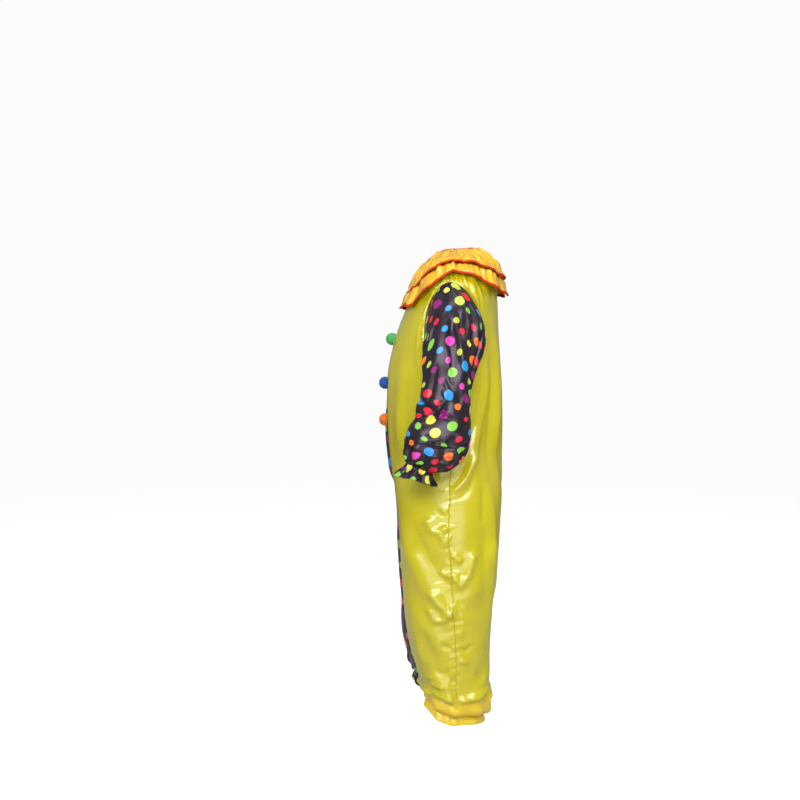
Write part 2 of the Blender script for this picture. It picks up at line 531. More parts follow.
def ripple(x, pitch, wander):
    """Uneven waves along x, with about that pitch in metres."""
    phase = 2 * math.pi * x / pitch
    return np.sin(phase + wander * np.sin(phase * 0.23 + 1.0)) * (0.65 + 0.35 * np.sin(phase * 0.37 + 2.0))


def drift(u, v, seed):
    """Slow, shallow swell of hanging cloth, longer down the cloth than across it."""
    total = 0
    for across, down, weight in ((19, 5, 1.0), (31, 9, 0.7), (47, 16, 0.45), (11, 23, 0.5)):
        total = total + weight * np.sin(across * u + down * v + seed * across) * np.cos(
            0.6 * across * u - 1.3 * down * v + 1.7 * seed
        )
    return total / 2.65


# ---- Meshes ----


def new_mesh(name, shape):
    """The mesh of a finished bmesh."""
    data = bpy.data.meshes.new(name)
    shape.to_mesh(data)
    shape.free()
    return data


def rework(data, work):
    """Changes a mesh by work, which takes a bmesh."""
    shape = bmesh.new()
    shape.from_mesh(data)
    work(shape)
    shape.to_mesh(data)
    shape.free()


def show(mesh_object, finish):
    mesh_object.data.materials.append(finish)
    bpy.context.scene.collection.objects.link(mesh_object)
    return mesh_object


def sew(name, points, out, uv, finish, thickness, closed=False, mirrored=False):
    """A sheet of cloth through rows and columns of points. out points away from the wearer, uv is each
    point's place on the cloth in metres, and a closed sheet's last column meets its first."""
    rows, columns = points.shape[:2]
    flip = np.array([-1 if mirrored else 1, 1, 1])
    sheet = bmesh.new()
    bmesh.ops.create_grid(sheet, x_segments=columns - 1, y_segments=rows - 1, size=0.5)
    data = new_mesh(name, sheet)
    data.vertices.foreach_set("co", (points * flip).reshape(-1).astype(np.float32))
    corners = np.empty(len(data.loops), np.int32)
    data.loops.foreach_get("vertex_index", corners)
    layer = data.uv_layers.new(name="cloth")
    layer.data.foreach_set("uv", uv.reshape(-1, 2)[corners].reshape(-1).astype(np.float32))
    data.update()
    facing = np.empty(len(data.vertices) * 3, np.float32)
    data.vertices.foreach_get("normal", facing)
    if (facing.reshape(-1, 3) * (out * flip).reshape(-1, 3)).sum() < 0:
        data.flip_normals()
    if closed:
        rework(data, lambda tube: bmesh.ops.remove_doubles(tube, verts=tube.verts, dist=1e-6))
    data.shade_smooth()
    made = show(bpy.data.objects.new(name, data), finish)
    if thickness:
        wall = made.modifiers.new("Cloth", "SOLIDIFY")
        wall.thickness = thickness
        wall.offset = -1
    return made


def crowded(count):
    """Shares from 0 to 1, closer together at both ends."""
    even = np.linspace(0, 1, count)
    return (even + (1 - np.cos(math.pi * even)) / 2) / 2


def cloth_length(points, axis):
    """Distance along the cloth from its first row or column."""
    steps = np.linalg.norm(np.diff(points, axis=axis), axis=-1)
    first = np.zeros_like(np.take(steps, [0], axis=axis))
    return np.cumsum(np.concatenate([first, steps], axis=axis), axis=axis)


def declare(piece, node):
    """Tells the frame what the piece is: it rides on the suit, stands for its solid and is a sheet of the
    size that its cloth has when it is laid flat."""
    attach(piece, "root")
    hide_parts(node)


# ---- Finishes ----
COLOUR, NUMBER = "NodeSocketColor", "NodeSocketFloat"


def node_group(name, inputs, outputs):
    group = bpy.data.node_groups.new(name, "ShaderNodeTree")
    for title, kind, default in inputs:
        group.interface.new_socket(title, in_out="INPUT", socket_type=kind).default_value = default
    for title, kind in outputs:
        group.interface.new_socket(title, in_out="OUTPUT", socket_type=kind)
    return group, group.nodes.new("NodeGroupInput"), group.nodes.new("NodeGroupOutput")


def feed(tree, node, links):
    """Gives a node's inputs what (input, value or output) pairs say."""
    for socket, value in links:
        if isinstance(value, bpy.types.NodeSocket):
            tree.links.new(value, node.inputs[socket])
        else:
            node.inputs[socket].default_value = value
    return node


def put(tree, kind, links=(), **settings):
    """Adds a node with these properties, and feeds it."""
    node = tree.nodes.new(kind)
    for name, value in settings.items():
        setattr(node, name, value)
    return feed(tree, node, links)


def cloth_place(tree):
    return put(tree, "ShaderNodeUVMap", uv_map="cloth").outputs["UV"]


def noise(tree, place, detail, scale=1):
    links = [("Vector", place), ("Scale", scale), ("Detail", detail)]
    return put(tree, "ShaderNodeTexNoise", links).outputs[0]


def reckon(tree, operation, first, second):
    return put(tree, "ShaderNodeMath", [(0, first), (1, second)], operation=operation).outputs[0]


def between(tree, value, start, end, low=0, high=1, curve="LINEAR"):
    """Goes from low to high as value goes from start to end, and no further."""
    links = [("Value", value), ("From Min", start), ("From Max", end), ("To Min", low), ("To Max", high)]
    return put(tree, "ShaderNodeMapRange", links, interpolation_type=curve).outputs[0]


def blend(tree, share, first, second):
    """A colour that share of the way from the first to the second."""
    return put(tree, "ShaderNodeMix", [(0, share), (6, first), (7, second)], data_type="RGBA").outputs[2]


def bumped(tree, strength, distance, height):
    links = [("Strength", strength), ("Distance", distance), ("Height", height)]
    return put(tree, "ShaderNodeBump", links)


def satin_group():
    """Weave and unevenness of satin, in cloth coordinates. Streaks is how close the unevenness lies across
    and down the cloth."""
    group, given, result = node_group(
        "satin_weave",
        (
            ("Colour", COLOUR, (0.5, 0.5, 0.5, 1)),
            ("Shade", COLOUR, (0.3, 0.3, 0.3, 1)),
            ("Hem", COLOUR, (0.5, 0.5, 0.5, 1)),
            ("Roughness", NUMBER, 0.35),
            ("Streaks", "NodeSocketVector", (14, 14, 1)),
        ),
        (("Colour", COLOUR), ("Roughness", NUMBER), ("Height", NUMBER), ("Crush", NUMBER)),
    )
    given = given.outputs
    place = cloth_place(group)
    threads = put(group, "ShaderNodeMapping", [("Vector", place), ("Scale", (700, 700, 1))]).outputs[0]
    links = [(0, place), (1, given["Streaks"])]
    spread = put(group, "ShaderNodeVectorMath", links, operation="MULTIPLY").outputs[0]
    cloud = noise(group, spread, 4)
    body = blend(group, between(group, cloud, 0.35, 0.7, 0, 0.75), given["Colour"], given["Shade"])
    height = put(group, "ShaderNodeSeparateXYZ", [(0, place)]).outputs["Y"]
    low = between(group, height, 0.060, 0.100, 1, 0, "SMOOTHSTEP")
    uneven = between(group, cloud, 0.3, 0.7, -0.03, 0.04)
    feed(
        group,
        result,
        [
            ("Colour", blend(group, low, body, given["Hem"])),
            ("Roughness", reckon(group, "ADD", given["Roughness"], uneven)),
            ("Height", noise(group, threads, 2)),
            ("Crush", noise(group, spread, 0.6)),
        ],
    )


DOT_COLOURS = (
    ("lime", (0.50, 0.62, 0.06)),
    ("sky", (0.02, 0.30, 0.78)),
    ("pink", (0.72, 0.06, 0.42)),
    ("red", (0.72, 0.015, 0.04)),
    ("orange", (0.88, 0.19, 0.02)),
    ("green", (0.22, 0.55, 0.07)),
    ("purple", (0.26, 0.015, 0.17)),
    ("lemon", (0.76, 0.70, 0.08)),
)


def dots_group():
    """Scattered round dots of two sizes. Gives their colour and where they are."""
    group, given, result = node_group(
        "scattered_dots",
        (("Spacing", NUMBER, 0.041), ("Large", NUMBER, 0.0142), ("Small", NUMBER, 0.0092)),
        (("Colour", COLOUR), ("Dot", NUMBER)),
    )
    given = given.outputs
    links = [("Vector", cloth_place(group)), ("Rotation", (0, 0, math.radians(38)))]
    turned = put(group, "ShaderNodeMapping", links).outputs[0]
    pitch = reckon(group, "DIVIDE", 1.0, given["Spacing"])
    links = [("Vector", turned), ("Scale", pitch), ("Randomness", 0.27)]
    cells = put(group, "ShaderNodeTexVoronoi", links, voronoi_dimensions="2D").outputs
    draws = put(group, "ShaderNodeSeparateColor", [(0, cells["Color"])]).outputs
    away = reckon(group, "MULTIPLY", cells["Distance"], given["Spacing"])
    large = reckon(group, "GREATER_THAN", draws[0], 0.5)
    links = [(0, large), (2, given["Small"]), (3, given["Large"])]
    size = put(group, "ShaderNodeMix", links, data_type="FLOAT").outputs[0]
    inside = reckon(group, "SUBTRACT", size, away)
    ramp = put(group, "ShaderNodeValToRGB", [(0, draws[1])])
    ramp.color_ramp.interpolation = "CONSTANT"
    stops = ramp.color_ramp.elements
    stops.remove(stops[-1])
    for number, (_, colour) in enumerate(DOT_COLOURS):
        stop = stops[0] if number == 0 else stops.new(number / len(DOT_COLOURS))
        stop.color = (*colour, 1)
    dot = between(group, inside, -0.0003, 0.0003)
    feed(group, result, [("Colour", ramp.outputs[0]), ("Dot", dot)])


def new_finish(name):
    made = bpy.data.materials.new(name)
    made.use_nodes = True
    return made.node_tree, made.node_tree.nodes["Principled BSDF"]


def satin(
    name,
    colour,
    shade,
    roughness,
    gloss,
    tint=(1, 1, 1),
    hem=None,
    dots=None,
    streaks=(14, 14, 1),
    crumple=0.001,
):
    """A satin finish, of another colour near the hem and with dots printed on it where these are given."""
    tree, shader = new_finish(name)
    groups = bpy.data.node_groups
    links = [
        ("Colour", (*colour, 1)),
        ("Shade", (*shade, 1)),
        ("Hem", (*(hem or colour), 1)),
        ("Roughness", roughness),
        ("Streaks", streaks),
    ]
    weave = put(tree, "ShaderNodeGroup", node_tree=groups["satin_weave"])
    weave = feed(tree, weave, links).outputs
    cloth_colour = weave["Colour"]
    if dots:
        spots = put(tree, "ShaderNodeGroup", node_tree=groups["scattered_dots"])
        spots = feed(tree, spots, dots.items()).outputs
        cloth_colour = blend(tree, spots["Dot"], cloth_colour, spots["Colour"])
    crush = bumped(tree, 1, crumple, weave["Crush"])
    threads = bumped(tree, 0.05, 0.0004, weave["Height"])
    feed(tree, threads, [("Normal", crush.outputs[0])])
    feed(
        tree,
        shader,
        [
            ("Base Color", cloth_colour),
            ("Roughness", weave["Roughness"]),
            ("Normal", threads.outputs[0]),
            ("Specular IOR Level", gloss),
            ("Specular Tint", (*tint, 1)),
        ],
    )


def matt(name, colour, shade, scale, depth, sheen):
    """A matt finish of tape or yarn, with fibres of that scale."""
    tree, shader = new_finish(name)
    fibres = noise(tree, put(tree, "ShaderNodeTexCoord").outputs["Object"], 4, scale)
    tint = blend(tree, between(tree, fibres, 0.35, 0.65), (*colour, 1), (*shade, 1))
    feed(
        tree,
        shader,
        [
            ("Base Color", tint),
            ("Normal", bumped(tree, 0.5, depth, fibres).outputs[0]),
            ("Roughness", 0.7),
            ("Sheen Weight", sheen),
            ("Specular IOR Level", 0.3),
        ],
    )


def finish_of(name):
    return bpy.data.materials[name]


# ---- Pieces ----
PLAIN, DOTTED = ("satin_plain", "yellow_satin"), ("satin_dotted", "dotted_satin")
BODY_CLOTH = {"left": PLAIN, "right": DOTTED}
SLEEVE_CLOTH = {"left": DOTTED, "right": PLAIN}


def panel_levels():
    """Rows of a panel: even steps down the cloth, with the armhole's own rows between its two ends."""
    arm = ARMHOLE_MIDDLE - ARMHOLE_HALF * np.cos(np.linspace(0, math.pi, PANEL_ARM_ROWS + 1))
    lower = even_levels(0, ARMHOLE_BOTTOM, PANEL_LOWER_ROWS)
    upper = even_levels(ARMHOLE_TOP, NECK, PANEL_UPPER_ROWS)
    return np.concatenate([lower[:-1], arm, upper[1:]])


def even_levels(low, high, count):
    """Levels at even steps down the side."""
    levels = np.linspace(low, high, CURVE_POINTS)
    run = cloth_length(smooth_body(np.zeros(CURVE_POINTS), levels), 0)
    return np.interp(np.linspace(0, run[-1], count), run, levels)


def opening_at(level):
    """Half the armhole's width at a level, in turns."""
    height = (np.asarray(level) - ARMHOLE_MIDDLE) / ARMHOLE_HALF
    return ARMHOLE_WIDTH * np.sqrt(np.clip(1 - height**2, 0, 1))


def side_seam(z):
    """Where the side seam runs, in turns."""
    heights, places = np.transpose(SIDE_SEAM)
    wobble = 0.003 * np.sin(47 * z + 2 * np.sin(19 * z)) + 0.0018 * np.sin(171 * z + 3 * np.sin(31 * z))
    return np.interp(z, heights, places) + wobble * ease((-0.42 - z) / 0.1)


def seam_swell(distance):
    """The cloth's rise beside a seam, which lies in a groove."""
    return GROOVE * (1 - bell(distance, 0.003)) - GROOVE


def seam_puckers(turn, level, z, seam, to_side, to_edge):
    """Small slanting puckers beside the side seam and the centre seams."""
    low = ease((-0.66 - z) / 0.06) * ease((z + 1.30) / 0.06)
    slant = z + np.where(turn < seam, 0.35, -0.25) * to_side
    pucker = ripple(slant, 0.027, 1.6) * np.exp(-to_side / 0.022) * (0.5 + 0.4 * low)
    fine = ripple(slant, 0.0135, 1.2) * np.exp(-to_side / 0.010) * 0.8
    edge = ripple(z, 0.027, 1.4) * np.exp(-to_edge / 0.014) * 0.5 * ease((level - 2) / 2)
    return PUCKER * (pucker + fine + edge)


def body_relief(side, turn, level, z, seam):
    """Height of the creases, puckers and gathers of a body half, above the smooth cloth."""
    sign, lowered, seed = {"left": (1, 0, 0.3), "right": (-1, 0.018, 1.9)}[side]
    u = turn * FOLD_SPAN * sign
    height = crease_height(BODY_CREASES, u, z - lowered, (FOLD_SPAN, 1)) + SWELL * drift(u, z, seed)
    to_side = np.abs(turn - seam) * FOLD_SPAN
    to_edge = (1 - np.abs(turn)) * FOLD_SPAN
    height = height * ease(to_edge / 0.03) * ease((level - 0.4) / 1.6)
    height = height + seam_puckers(turn, level, z, seam, to_side, to_edge)

    # the armhole's rolled edge and the gathers of the sleeve's cap
    inside = (level > ARMHOLE_BOTTOM - 0.5) & (level < ARMHOLE_TOP + 0.3)
    height_on_arm = (level - ARMHOLE_MIDDLE) / ARMHOLE_HALF
    turn_on_arm = (turn - seam_turn(level)) / ARMHOLE_WIDTH
    arm_radius = np.sqrt(turn_on_arm**2 + height_on_arm**2)
    to_arm = np.where(inside, np.abs(arm_radius - 1) * 0.13, 1.0)
    to_arm = np.where(np.abs(turn - seam_turn(level)) <= opening_at(level), 0.0, to_arm)
    around = np.arctan2(turn_on_arm, height_on_arm)
    arm_pucker = np.sin(50 * around + 2.2 * np.sin(5 * around)) * np.exp(-to_arm / 0.014)
    arm_pucker = arm_pucker * (1 - bell(to_arm, 0.0035)) * (0.5 + 0.5 * bell(around + 1.2, 0.9))
    roll = bell(to_arm - 0.007, 0.0045) * (0.8 + 0.35 * np.sin(23 * around + 2 * np.sin(7 * around)))
    height = height * (1 - bell(to_arm, 0.006))
    height = height + (ARM_PUCKER * arm_pucker + ARM_ROLL * roll) * inside
    height = height + seam_swell(np.minimum(np.minimum(to_arm, to_edge), to_side)) * ease(level / 2)
    height = np.where(to_arm < 1e-4, -GROOVE, height)

    over_shoulder = ease((level - 17.6) / 1.6) * ease(to_edge / 0.03)
    gathers = np.sin(44 * turn + 3 * np.sin(7 * turn)) * (1 - bell(to_arm, 0.01))
    return height + SHOULDER_GATHER * over_shoulder * gathers


def ankle_gathers(turn):
    """Fine gathers at the ankle elastic, shared by the leg and its ruffle."""
    return FINE_GATHER * np.sin(2 * math.pi * 14 * turn + 1.4 * np.sin(2 * math.pi * 3 * turn))


def wrist_gathers(angle):
    """Fine gathers at the wrist elastic, shared by the sleeve and its cuff ruffle."""
    return FINE_GATHER * np.sin(24 * angle + 1.4 * np.sin(5 * angle))


def sew_side(name, node, side, cloths, sheet, wall, closed):
    """The right side is made as a left one and mirrored."""
    cloth, slot = cloths[side]
    points, out, uv = sheet
    piece = sew(f"{name}_{side}", points, out, uv, finish_of(cloth), wall, closed, side == "right")
    declare(piece, f"{node}_{side}")


def sew_half(side):
    """Both panels of one body half, from the neck to the ankle elastic."""
    surface = body_surface(side)
    levels = panel_levels()
    opening = opening_at(levels)
    side_line = smooth_body(np.zeros(len(levels)), levels)
    seam = side_seam(side_line[:, 2]) + seam_turn(levels)
    for part, sign in (("front", -1), ("back", 1)):
        share = crowded(PANEL_COLUMNS + 1)
        level = np.repeat(levels[:, None], len(share), axis=1)
        start = np.where(opening > 0, seam_turn(levels) + sign * opening, seam)[:, None]
        turn = start + share * (sign - start)
        if part == "front":
            turn = turn[:, ::-1]
        points = surface(turn, level)
        out = normals(surface, turn, level)
        centre_seam = ((np.abs(turn) > 0.999) & (level > CROTCH))[..., None]
        out = np.where(centre_seam, unit(out * (0, 1, 1)), out)
        height = body_relief(side, turn, level, points[..., 2], seam[:, None])
        points = points + out * height[..., None]
        gathers = ankle_gathers(turn) * ease((2.4 - level) / 2)
        points = stride(side, points + outwards_of(points, LEG_X, 0) * gathers[..., None])
        around = cloth_length(smooth_body(turn, level), 1)
        edge = -1 if part == "front" else 0
        around = around - around[:, [edge]] + turn[:, [edge]] * FOLD_SPAN
        down = cloth_length(side_line[:, None], 0)
        uv = np.stack([around, np.broadcast_to(down, around.shape)], axis=-1)
        sheet = points, out, uv
        sew_side(f"satin_{part}", part, side, BODY_CLOTH, sheet, sizes().cloth, False)


def sleeve_relief(side, angle, ring):
    seed = {"left": 0.8, "right": -0.8}[side]
    around = np.angle(np.exp(1j * angle))
    u, v = around * SLEEVE_RADIUS, -ring * RING_STEP
    scale = (math.radians(1) * SLEEVE_RADIUS, -RING_STEP)
    whole = 2 * math.pi * SLEEVE_RADIUS  # a crease may run on past the seam
    height = sum(crease_height(SLEEVE_CREASES, u + wrap, v, scale) for wrap in (0, -whole, whole))
    height = height + SLEEVE_SWELL * drift(np.sin(angle) * 0.1, v, seed) * ease(ring)
    to_seam = (math.pi - np.abs(around)) * SLEEVE_RADIUS
    height = height + SLEEVE_PUCKER * ripple(v, 0.022, 1.5) * np.exp(-to_seam / 0.016)
    cap = np.sin(34 * angle + 2.0 * np.sin(5 * angle)) * ease(ring / 0.12) * ease((1.0 - ring) / 0.9)
    height = height + CAP_GATHER * cap * (0.35 + 0.65 * bell(around, 1.1))
    bunched = ease((ring - 7.0) / 1.6)
    crumple = np.sin(17 * angle + 3 * np.sin(4 * angle + ring)) * np.cos(5.5 * ring + 2 * np.sin(3 * angle))
    height = height + FOREARM_CRUMPLE * crumple * bunched
    return height * ease(ring / 0.18) * ease((9 - ring) / 0.5)


def sew_sleeve(side):
    body = body_surface(side)
    surface = sleeve_surface(body)
    rings = np.concatenate([[0, 0.03, 0.06, 0.1], np.linspace(0.15, 9, SLEEVE_ROWS)])  # closer at the armhole
    angles = np.linspace(-math.pi, math.pi, SLEEVE_COLUMNS + 1)
    ring, angle = np.meshgrid(rings, angles, indexing="ij")
    points = surface(angle, -ring)
    out = -normals(surface, angle, -ring)
    points = points + out * sleeve_relief(side, angle, ring)[..., None]
    points[0] = armhole_edge(angles, body)
    gathers = wrist_gathers(angle) * ease((ring - 7.4) / 1.2)
    points = points + outwards_of(points, SLEEVE[-1].x, SLEEVE[-1].y) * gathers[..., None]
    points[:, -1] = points[:, 0]
    around = cloth_length(points, 1)
    around = around - around[:, SLEEVE_COLUMNS // 2][:, None]
    down = 1 - cloth_length(points[:, SLEEVE_COLUMNS // 2][:, None], 0)
    uv = np.stack([around, np.broadcast_to(down, around.shape)], axis=-1)
    sheet = points, out, uv
    sew_side("satin_sleeve", "sleeve", side, SLEEVE_CLOTH, sheet, sizes().cloth, True)


def armhole_edge(angles, body):
    """The sewn edge that a sleeve shares with its body half, in the seam's groove."""
    turn, level = armhole_place(angles)
    return body(turn, level) - GROOVE * normals(body, turn, level)


def sew_cuff(side):
    """The ruffle below a wrist elastic."""
    levels, angles = np.linspace(2, 0, CUFF_ROWS), np.linspace(-math.pi, math.pi, CUFF_COLUMNS)
    level, angle = np.meshgrid(levels, angles, indexing="ij")
    points = loft([ring_points(ring, angle.ravel()) for ring in CUFF[::-1]], level)
    grown = ease((2 - level) / 1.6)
    phase = CUFF_WAVES * angle + 0.5 * np.sin(3 * angle + 0.4) * grown
    wave = CUFF_WAVE * grown * np.cos(phase) + 0.0016 * grown * np.sin(2.0 * phase + 1 + 2 * level)
    wave = wave + wrist_gathers(angle) * (1 - 0.4 * grown)
    wave = wave + 0.0016 * np.sin(21 * angle + 3 * level) * np.sin(5 * level + 4 * np.sin(3 * angle)) * grown
    points = points + outwards_of(points, CUFF[-1].x, CUFF[-1].y) * wave[..., None]
    points[..., 2] += 0.0030 * grown * np.sin(3 * angle + 1.2)
    points[:, -1] = points[:, 0]
    around = np.broadcast_to(0.85 * cloth_length(points, 1)[-1], angle.shape)
    uv = np.stack([around + 0.31, cloth_length(points, 0) + 1.12], axis=-1)
    sheet = points, outwards_of(points, CUFF[-1].x, CUFF[-1].y), uv
    sew_side("satin_cuff", "cuff_ruffle", side, SLEEVE_CLOTH, sheet, sizes().ruffle, True)


def sew_ankle(side):
    """The ruffle below an ankle elastic."""
    levels, turns = np.linspace(2, -1, ANKLE_ROWS), np.linspace(-1, 1, ANKLE_COLUMNS)
    level, turn = np.meshgrid(levels, turns, indexing="ij")
    points = oval((HEM_ROLL, *ANKLE[::-1]), turn, level + 1)
    grown = ease((2 - level) / 1.6)
    phase = math.pi * ANKLE_WAVES * turn + 0.6 * np.sin(3 * math.pi * turn + 0.5) * grown
    wave = 0.5 * ANKLE_WAVE * grown * np.cos(phase) + 0.0008 * grown * np.sin(2 * phase + 1)
    wave = wave + ankle_gathers(turn) * (1 - 0.9 * grown)
    wave = wave + 0.006 * np.sin(math.pi * np.clip((2 - level) / 2.2, 0, 1))
    points = points + outwards_of(points, LEG_X, 0) * wave[..., None]
    points[..., 2] += 0.0022 * grown * np.sin(2 * math.pi * turn + 0.7)
    points[:, -1] = points[:, 0]
    out = outwards_of(points, LEG_X, 0)
    points = stride(side, points)
    around = np.broadcast_to(0.85 * cloth_length(points, 1)[ANKLE_HEM_ROW], turn.shape)
    uv = np.stack([around + 0.17, -cloth_length(points, 0)], axis=-1)
    sheet = points, out, uv
    sew_side("satin_ankle", "ankle_ruffle", side, BODY_CLOTH, sheet, sizes().ruffle, True)


# ---- Collar ----
# A grid of how far down from the neck seam the body's places lie
NECK_TURNS = np.linspace(-1, 1, 81)
NECK_LEVELS = np.linspace(NECK, NECK - 6, 61)
NECK_RUNS = cloth_length(smooth_body(*np.meshgrid(NECK_TURNS, NECK_LEVELS, indexing="ij")), 1)


def from_neck(around, distance):
    """Points and normals on the body that far down from the neck seam; around is 0 at the centre front
    and 1 or -1 at the centre back."""
    around, distance = np.broadcast_arrays(np.asarray(around, float), np.asarray(distance, float))
    turn = np.clip(2 * np.abs(around) - 1, -1, 1)
    where = (turn.ravel() + 1) * (len(NECK_TURNS) - 1) / 2
    k = np.clip(where.astype(int), 0, len(NECK_TURNS) - 2)
    f = (where - k)[:, None]
    runs = NECK_RUNS[k] * (1 - f) + NECK_RUNS[k + 1] * f
    wanted = distance.ravel()[:, None]
    below = np.clip((runs < wanted).sum(axis=1) - 1, 0, len(NECK_LEVELS) - 2)
    pick = np.arange(len(below))
    part = (distance.ravel() - runs[pick, below]) / (runs[pick, below + 1] - runs[pick, below])
    level = NECK_LEVELS[below] * (1 - part) + NECK_LEVELS[below + 1] * part
    level = level.reshape(turn.shape)
    side = np.where(around < 0, -1, 1)[..., None] * (1, 0, 0) + (0, 1, 1)
    return smooth_body(turn, level) * side, normals(smooth_body, turn, level) * side


def tier(which, around, distance):
    """Points and normals of a collar tier, gathered at the neck and fluted to its hem."""
    front = ease(1 - 2 * np.abs(around))
    distance = distance * (1 + glide(TIER_SWEEP[which], 10 * np.abs(around)))
    # the hem hangs lower on the flutes at both ends and rises between them
    ends = bell(around, 0.20) + 0.5 * bell(1 - np.abs(around), 0.22)
    hang = distance / TIER_DEPTHS[which]
    longer = 0.055 * np.cos(FLUTES * math.pi * around) * ends - 0.07 * bell(1 - np.abs(around), 0.12)
    distance = distance * (1 + longer * hang**2)
    points, out = from_neck(around, distance)
    share = np.clip(distance / TIER_DEPTHS[which], 0, 1.1)
    reach = distance / TIER_DEPTHS["lower"]
    warp = FLUTES * around + 0.22 * np.sin(3 * math.pi * around)
    full = 0.3 + 0.7 * np.cos(math.pi * around) ** 2
    flute = FLUTE_HEIGHT * full * reach**1.3 * (1 + np.cos(math.pi * warp)) / 2
    opening = ease((-around - 0.84) / 0.14)
    lift = TIER_LIFTS[which] * (1 - 0.70 * front) + (0.011 if which == "upper" else 0.004) * opening
    seed = 0.0 if which == "upper" else 1.1
    small = np.cos(math.pi * 2.37 * warp + seed + 0.8 * np.sin(9 * around)) * full**2
    # the upper tier is crumpled all over, and the lower one where it shows below it
    upper_hem = TIER_DEPTHS["upper"] * (1 + glide(TIER_SWEEP["upper"], 10 * np.abs(around)))
    shown = ease(share / 0.2) if which == "upper" else ease((distance - upper_hem + 0.006) / 0.022)
    shown = shown * (0.25 + 0.75 * ease((1 - share) / 0.25))
    pleats = np.sin(TIER_PLEATS * around + 5 * np.sin(8 * around + seed) + 2.5 * share)
    uneven = 0.6 + 0.4 * np.sin(23 * around + 3 * share + seed)
    creases = np.sin(47 * around + 2.5 * np.sin(11 * around + seed) - 3 * share)
    crush = np.sin(37 * around + 6 * share + seed) * np.sin(7 * share + 17 * around + 2 * seed)
    crumpled = TIER_PLEAT * pleats * uneven + TIER_CREASE * creases + TIER_CRUSH * crush
    relief = shown * (crumpled + TIER_RAISE)
    relief = relief + 0.0016 * small * reach**2
    layers = 2 if which == "upper" else 1
    height = layers * LAYER + lift * share**1.5 + flute * (1 - 0.25 * front) + relief
    return points + out * height[..., None], out


def collar_edge(distance):
    """Where a tier ends at the back opening and how wide its tape is there, as shares of half its round."""
    half_round = 0.235 + 1.8 * np.asarray(distance, float)
    return 1 - (0.003 + 0.12 * distance) / half_round, TRIM_WIDTH / half_round


def sew_tier(which):
    distances = np.linspace(0, TIER_DEPTHS[which], TIER_ROWS[which])
    distance, share = np.meshgrid(distances, np.linspace(-1, 1, TIER_COLUMNS), indexing="ij")
    edge, trim = collar_edge(distance)
    around = share * (edge - trim * 0.7)
    points, out = tier(which, around, distance)
    uv = np.stack([0.6 * around, 0.3 + distance], axis=-1)
    piece = sew(f"satin_collar_{which}", points, out, uv, finish_of("satin_gold"), sizes().ruffle)
    declare(piece, f"collar_{which}")


def close_ends(tube):
    bmesh.ops.holes_fill(tube, edges=[edge for edge in tube.edges if edge.is_boundary], sides=0)


def bind(name, node, path, facing, width, thickness):
    """A folded tape bound over an edge: a flattened tube along path, whose flat side looks along facing."""
    tangent = unit(np.gradient(path, axis=0))
    flat = unit(facing - (facing * tangent).sum(axis=1, keepdims=True) * tangent)
    across = np.cross(tangent, flat)
    turn = np.linspace(0, 2 * math.pi, 13)
    wide = np.sign(np.cos(turn)) * np.abs(np.cos(turn)) ** 0.7 * width / 2
    deep = np.sign(np.sin(turn)) * np.abs(np.sin(turn)) ** 0.7 * thickness / 2
    run = cloth_length(path, 0)
    plump = 1 + 0.10 * np.sin(2 * math.pi * run / 0.017) * np.sin(2 * math.pi * run / 0.061 + 1)
    points = (
        path[:, None]
        + across[:, None] * wide[:, None] * plump[:, None, None]
        + flat[:, None] * deep[:, None] * plump[:, None, None]
    )
    points[:, -1] = points[:, 0]
    shape = points.shape[:2]
    uv = np.stack([np.broadcast_to(turn * width / 4, shape), np.broadcast_to(run[:, None], shape)], axis=-1)
    piece = sew(name, points, points - path[:, None], uv, finish_of("tape_red"), 0, True)
    rework(piece.data, close_ends)
    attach(piece, "root")
    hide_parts(node)


def bind_tier(which):
    """Red tape round a tier's hem and up both ends at the back opening."""
    depth = TIER_DEPTHS[which] + TRIM_WIDTH / 2
    end, trim = collar_edge(depth)
    corner = end - trim / 2
    down = np.linspace(0.003, depth - 0.004, TAPE_END_ROWS)
    edge, width = collar_edge(down)
    side = edge - width / 2
    around = np.concatenate([-side, np.linspace(-corner, corner, TAPE_ROWS), side[::-1]])
    distance = np.concatenate([down, np.full(TAPE_ROWS, depth), down[::-1]])
    path, out = tier(which, around, distance)
    bind(f"binding_{which}", f"trim_{which}", path - out * 0.00075, out, 0.0080, 0.0044)


def bind_neck():
    edge, _ = collar_edge(0.0)
    around = np.linspace(-edge, edge, NECK_TAPE_ROWS)
    points, out = from_neck(around, 0)
    lower, _ = from_neck(around, 0.004)
    up = unit(points - lower)
    path = points + up * 0.0026 + out * 0.0009
    bind("binding_neck", "neck_binding", path, out, 0.0056, 0.0062)


# ---- Pompoms ----


